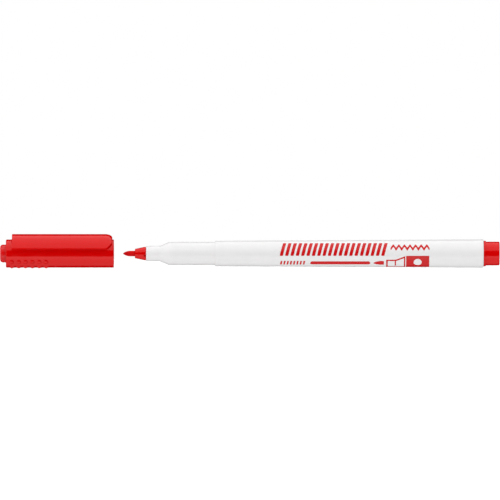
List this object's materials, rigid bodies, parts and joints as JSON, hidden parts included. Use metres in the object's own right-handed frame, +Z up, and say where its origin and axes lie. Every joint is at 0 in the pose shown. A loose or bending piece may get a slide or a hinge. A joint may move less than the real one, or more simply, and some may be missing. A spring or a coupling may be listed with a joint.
{
  "type": "whiteboard marker",
  "caption": "Slim dry-wipe whiteboard marker with a round fibre nib, pulled-off clip cap and pressed-in end plug, for writing on whiteboards.",
  "frame": {"origin": "on the surface the marker lies on, below the middle of its overall length with the cap pulled off and laid in line", "axes": "+X along the pen from the cap to the rear end plug, +Z up through the clip, +Y across the pen"},
  "size_m": [0.173, 0.0116, 0.0118],
  "materials": {
    "white_barrel": "glossy white moulded polypropylene",
    "red_trim": "glossy red moulded polypropylene",
    "red_cap": "glossy red moulded polypropylene",
    "red_inner_cap": "satin red moulded polypropylene",
    "ink_nib": "ink-soaked bonded polyester fibre",
    "ink_core": "ink-soaked polyester fibre core",
    "core_film": "thin milky plastic film"
  },
  "bodies": {
    "barrel": {"barrel": "white_barrel", "nib_holder": "red_trim", "nib": "ink_nib", "ink_reservoir": "ink_core", "reservoir_film": "core_film", "end_plug": "red_trim"},
    "cap": {"cap_shell": "red_cap", "inner_cap": "red_inner_cap"},
    "clip": {"cap_clip": "red_cap"}
  },
  "joints": [
    {"name": "cap_slide", "type": "slide", "parent": "barrel", "child": "cap", "axis": [1, 0, 0], "range_m": [0, 0.035]},
    {"name": "clip_flex", "type": "hinge", "parent": "cap", "child": "clip", "pos_m": [-0.07935, 0, 0.0114], "axis": [0, -1, 0], "range_deg": [0, 4], "stiffness_Nm_per_rad": 0.5}
  ]
}
